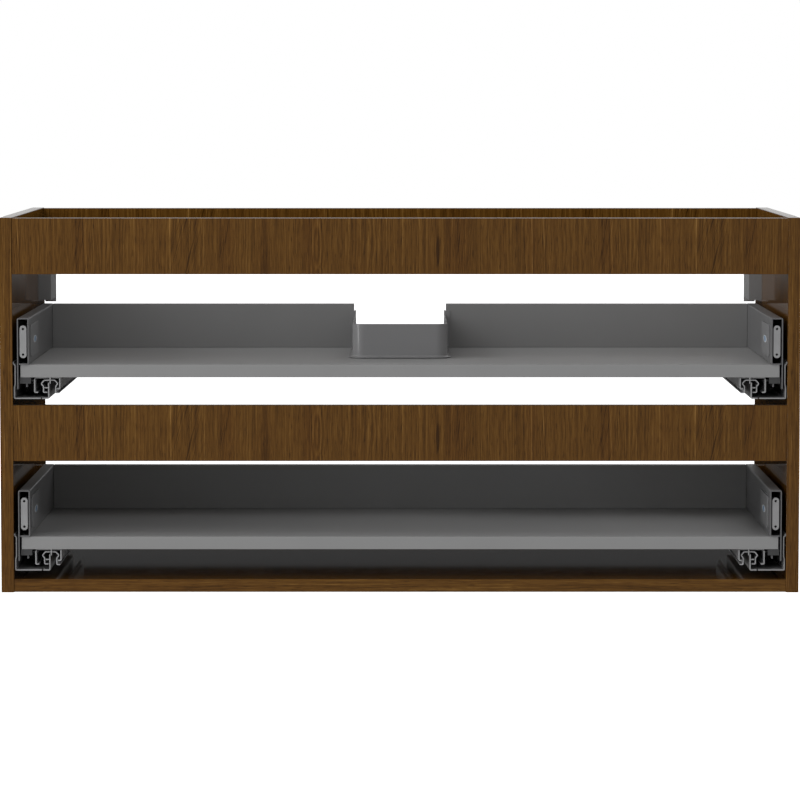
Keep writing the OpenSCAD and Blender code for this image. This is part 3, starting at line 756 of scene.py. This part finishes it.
# Parts of a plug: look, half its straight length, its reach along the depth and upwards past that,
# and its foot and top over the plug's foot
PLUG_PARTS = {
    "body": ("grey_plastic", PLUG_STRAIGHT, PLUG_RADIUS, PLUG_RADIUS, 0, PLUG_TOP - 0.3 * MM),
    "oval": ("plug_plastic", 0, 19.4 * MM, 4.5 * MM, PLUG_TOP - 0.4 * MM, PLUG_TOP - 0.05 * MM),
    "field": ("plug_blue", 0, 12.5 * MM, 4.0 * MM, PLUG_TOP - 0.2 * MM, PLUG_TOP),
}
OVAL_STEPS = 40
# Solids of the caps shorter than this along the depth are plugs
PLUG_SIZE_LIMIT = 60 * MM


def remove_plugs(bm):
    """Takes the plain plugs out of the caps' mesh, where they are solids of their own."""
    plugs = []
    for part in loose_parts(bm):
        depths = [corner.co.y for corner in part]
        if max(depths) - min(depths) < PLUG_SIZE_LIMIT:
            plugs += part
    bmesh.ops.delete(bm, geom=plugs, context="VERTS")


def add_oval(bm, side, middle_z, rings):
    """Adds an oval shape on one side's cap, and closes its top.

    Each ring has half its straight length, its reach along the depth and upwards past that,
    and its height over the plug's foot.
    """
    loops = []
    for straight, along, upwards, height in rings:
        loop = []
        for k in range(OVAL_STEPS):
            turn = 2 * math.pi * (k + 0.5) / OVAL_STEPS
            x = side * (PANEL_X - PLUG_U[0] - height)
            y = FRONT_Y + PLUG_T + math.copysign(straight, math.cos(turn)) + along * math.cos(turn)
            loop.append(bm.verts.new((x, y, middle_z + upwards * math.sin(turn))))
        loops.append(loop)
    join_loops(bm, loops)
    bm.faces.new(loops[-1])


def make_plugs(table):
    """Each cap's plug: a grey body, on it a pale oval, and on that a blue field."""
    for level in LEVELS:
        node = level + "_caps"
        low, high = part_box(node)
        for name, (look, straight, along, upwards, foot, top) in PLUG_PARTS.items():
            rings = (
                (straight, along, upwards, foot),
                (straight, along, upwards, top - PLUG_ROUND),
                (straight, along - PLUG_ROUND, upwards - PLUG_ROUND, top),
            )
            bm = bmesh.new()
            for side in SIDES:
                add_oval(bm, side, (low.z + high.z) / 2, rings)
            add_piece(f"{level}_cap_plug_{name}", bm, node, table[look])


# ---- Siphon surround ----

# Lengths in this section are in millimetres: outward from the wall's outer face, along the depth
# from the cabinet's front, and up from the drawer bottom's top
SURROUND_WALL = 2.0
SURROUND_RIM = 44.1
SURROUND_FOOT = -15.5
SURROUND_HALF = 60.8
SURROUND_FRONT = 120.0
SURROUND_BACK = 339.0
SURROUND_CORNER = 15.0
RIM_ROUND = 0.6
COVE = 2.6
# The foot lies on the drawer bottom over a small gap: reach, height, rounding and gap
FOOT = (4.4, 2.0)
FOOT_ROUND = 0.7
FOOT_GAP = 0.6
# Underside of the foot, inward from its tip and upwards from the gap
FOOT_UNDERSIDE = ((1.8, 0), (0.6, 0.1))
# Depths and places across with extra rows on the straight stretches
SIDE_ROWS = (200, 270)
FRONT_ROWS = (-20, 20)
CORNER_STEPS = 18
# Ledge against each back board: its top, and how far its wing reaches from the middle and its thickness
LEDGE_TOP = 49.1
WING_REACH = 66.8
WING_THICK = 1.4
# Distances that keep the ledges' faces from lying in the wall's
LEDGE_INSET = 0.03
WING_INSET = (0.05, 0.02)
LEDGE_EDGE = 0.4


def arc(centre, radius, start, end, steps):
    """Points on a circle, from one angle to another in degrees."""
    angles = [math.radians(start + (end - start) * k / steps) for k in range(steps + 1)]
    return [(centre[0] + radius * math.cos(t), centre[1] + radius * math.sin(t)) for t in angles]


def surround_section():
    """Points (outward, up) round the section of the wall, its rim and its foot."""
    rim = SURROUND_RIM - RIM_ROUND
    return (
        [(-SURROUND_WALL, SURROUND_FOOT), (0, SURROUND_FOOT), (0, FOOT_GAP)]
        + [(FOOT[0] - back, FOOT_GAP + up) for back, up in FOOT_UNDERSIDE]
        + arc((FOOT[0] - FOOT_ROUND, FOOT[1] - FOOT_ROUND), FOOT_ROUND, -30, 90, 4)
        + arc((COVE, FOOT[1] + COVE), COVE, 270, 180, 6)
        + arc((-RIM_ROUND, rim), RIM_ROUND, 0, 90, 3)
        + arc((RIM_ROUND - SURROUND_WALL, rim), RIM_ROUND, 90, 180, 3)
    )


def surround_path():
    """Points (across, depth) on the wall's outer face, each with its outward direction."""
    corner_x = SURROUND_HALF - SURROUND_CORNER
    corner_t = SURROUND_FRONT + SURROUND_CORNER
    side_ts = (*SIDE_ROWS, SURROUND_BACK)
    path = [((-SURROUND_HALF, t), (-1.0, 0.0)) for t in reversed(side_ts)]
    for middle, start in ((-corner_x, 180), (corner_x, 270)):
        points = arc((middle, corner_t), SURROUND_CORNER, start, start + 90, CORNER_STEPS)
        outward = arc((0, 0), 1.0, start, start + 90, CORNER_STEPS)
        path += zip(points, outward)
        if middle < 0:
            path += [((x, SURROUND_FRONT), (0.0, -1.0)) for x in FRONT_ROWS]
    return path + [((SURROUND_HALF, t), (1.0, 0.0)) for t in side_ts]


def add_box(bm, low, high):
    corners = [[(low, high)[k >> i & 1][i] for i in range(3)] for k in range(8)]
    verts = [bm.verts.new(c) for c in corners]
    for face in ((0, 2, 3, 1), (4, 5, 7, 6), (0, 1, 5, 4), (2, 6, 7, 3), (0, 4, 6, 2), (1, 3, 7, 5)):
        bm.faces.new([verts[k] for k in face])


def add_ledges(bm, board_top):
    """Ledge on each side behind the back board's end, with a wing behind the board."""
    ledges = bmesh.new()
    back = FRONT_Y + SURROUND_BACK * MM
    wing_front = FRONT_Y + (SURROUND_BACK - WING_THICK) * MM
    board_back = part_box("upper_back_left")[1].y
    inside = (SURROUND_HALF - SURROUND_WALL) * MM
    plates = (
        (inside, (SURROUND_HALF - LEDGE_INSET) * MM, wing_front, board_back, SURROUND_FOOT),
        (inside + WING_INSET[0] * MM, WING_REACH * MM, wing_front + WING_INSET[1] * MM, back, 0),
    )
    for side in SIDES:
        for inner, outer, y0, y1, foot in plates:
            x0, x1 = sorted((side * inner, side * outer))
            add_box(ledges, (x0, y0, board_top + foot * MM), (x1, y1, board_top + LEDGE_TOP * MM))
    bevelled(ledges, list(ledges.edges), LEDGE_EDGE * MM)
    mesh = bpy.data.meshes.new("surround_ledges")
    ledges.to_mesh(mesh)
    ledges.free()
    bm.from_mesh(mesh)
    bpy.data.meshes.remove(mesh)


def make_surround(table):
    """Siphon surround: its section swept round the cut-out, with a ledge against each back board."""
    board_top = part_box("upper_bottom")[1].z
    bm = bmesh.new()
    rows = [
        [
            bm.verts.new(((x + out * nx) * MM, FRONT_Y + (t + out * nt) * MM, board_top + up * MM))
            for out, up in surround_section()
        ]
        for (x, t), (nx, nt) in surround_path()
    ]
    join_loops(bm, rows)
    bm.faces.new(rows[0])
    bm.faces.new(rows[-1])
    add_ledges(bm, board_top)
    replace_node("siphon_surround", bm, table["surround_plastic"])


# ---- Screws ----

SCREW_NODES = ("slide_screws", "upper_screws", "lower_screws", "hanger_screws")
# Shaft's tip: shares of its radius and of its length
TIP = ((0.2, 1), (1, 0.85))
# Pan head over its seat: shares of its radius and of its height
PAN_HEAD = ((1, 0), (1, 0.35), (0.96, 0.62), (0.86, 0.85), (0.72, 1))
# Cross recess: half its arms' width and their reach as shares of the head's radius, and its floor
# as a share of the head's height
CROSS_HALF = 0.17
CROSS_REACH = 0.62
CROSS_FLOOR = 0.25
PIN_EDGE = 0.3 * MM
# Corners further out than this share of the head's radius belong to the head
HEAD_SHARE = 0.95
SAME_PLACE = 0.01 * MM


def axis_vector(axis, length=1):
    return Vector([length if i == axis else 0 for i in range(3)])


def cross_outline():
    w, r = CROSS_HALF, CROSS_REACH
    quarter = [(w, w), (w, r), (-w, r)]
    points = []
    for k in range(4):
        c, s = math.cos(k * math.pi / 2), math.sin(k * math.pi / 2)
        points += [(x * c - y * s, x * s + y * c) for x, y in quarter]
    return points


def loop_edges(bm, loop):
    return [bm.edges.get((loop[k], loop[(k + 1) % len(loop)])) for k in range(len(loop))]


def add_screw(bm, seat, axis, shaft, head):
    """Pan-head screw with a cross recess. The seat is under its head, and the axis points out of it."""
    (shaft_r, shaft_len), (head_r, head_h) = shaft, head
    turn = axis_turn(axis)
    rings = [(shaft_r * r, -shaft_len * h) for r, h in TIP] + [(shaft_r, 0)]
    rings += [(head_r * r, head_h * h) for r, h in PAN_HEAD]
    loops = lathe(bm, rings, seat, turn)
    bm.faces.new(list(reversed(loops[0])))
    mouth, pit = [
        [bm.verts.new(seat + turn @ Vector((x * head_r, y * head_r, z))) for x, y in cross_outline()]
        for z in (head_h, head_h * CROSS_FLOOR)
    ]
    join_loops(bm, [mouth, pit])
    bm.faces.new(pit)
    rim_edges = loop_edges(bm, mouth) + loop_edges(bm, loops[-1])
    bmesh.ops.triangle_fill(bm, use_beauty=True, edges=rim_edges)


def add_pin(bm, middle, axis, length, radius):
    """Adjuster spindle: a plain pin with chamfered ends."""
    half = length / 2
    rings = (
        (radius - PIN_EDGE, -half), (radius, PIN_EDGE - half),
        (radius, half - PIN_EDGE), (radius - PIN_EDGE, half),
    )
    loops = lathe(bm, rings, middle, axis_turn(axis_vector(axis)))
    bm.faces.new(list(reversed(loops[0])))
    bm.faces.new(loops[-1])


def remake_screw(bm, corners):
    """Adds a CAD screw again, at the same seat and of the same size, or a pin if it has no head."""
    low, high = (Vector([end(c[i] for c in corners) for i in range(3)]) for end in (min, max))
    spans = high - low
    middle = (low + high) / 2
    axis = max(range(3), key=lambda i: spans[i])
    others = [i for i in range(3) if i != axis]
    head_r = max(spans[i] for i in others) / 2

    def radius_at(value):
        here = [c for c in corners if abs(c[axis] - value) < SAME_PLACE]
        return max((math.dist([c[i] for i in others], [middle[i] for i in others]) for c in here), default=0)

    out = 1 if radius_at(high[axis]) > radius_at(low[axis]) else -1
    ends = sorted({round(c[axis], 6) for c in corners}, key=lambda value: -out * value)
    wide = [value for value in ends if radius_at(value) > HEAD_SHARE * head_r]
    shaft_r = radius_at(ends[-1])
    if len(wide) < 2 or shaft_r > HEAD_SHARE * head_r:
        add_pin(bm, middle, axis, spans[axis], head_r)
        return
    seat = middle.copy()
    seat[axis] = wide[-1]
    shaft = (shaft_r, abs(wide[-1] - ends[-1]))
    head = (head_r, abs(ends[0] - wide[-1]))
    add_screw(bm, seat, axis_vector(axis, out), shaft, head)


def make_screws(table):
    """Every CAD screw again with a proper head."""
    for node in SCREW_NODES:
        source = node_mesh(node)
        screws = [[corner.co.copy() for corner in part] for part in loose_parts(source)]
        source.free()
        bm = bmesh.new()
        for corners in screws:
            remake_screw(bm, corners)
        replace_node(node, bm, table[own_slot(node)])


# ---- Scene ----

def dress_nodes(table, boards):
    """Procedural materials on the CAD nodes themselves."""
    for node, thing in NODES.items():
        thing.data.materials[0] = boards.get(node) or table[own_slot(node)]


bpy.context.scene.view_settings.view_transform = "Standard"
make_camera()
make_world()
make_floor()
make_lights()
materials, board_materials = make_materials()
make_boards(board_materials, materials)
make_edged_pieces(materials)
make_balls(materials)
make_bar_hole_shade(materials)
make_plugs(materials)
make_surround(materials)
make_screws(materials)
dress_nodes(materials, board_materials)
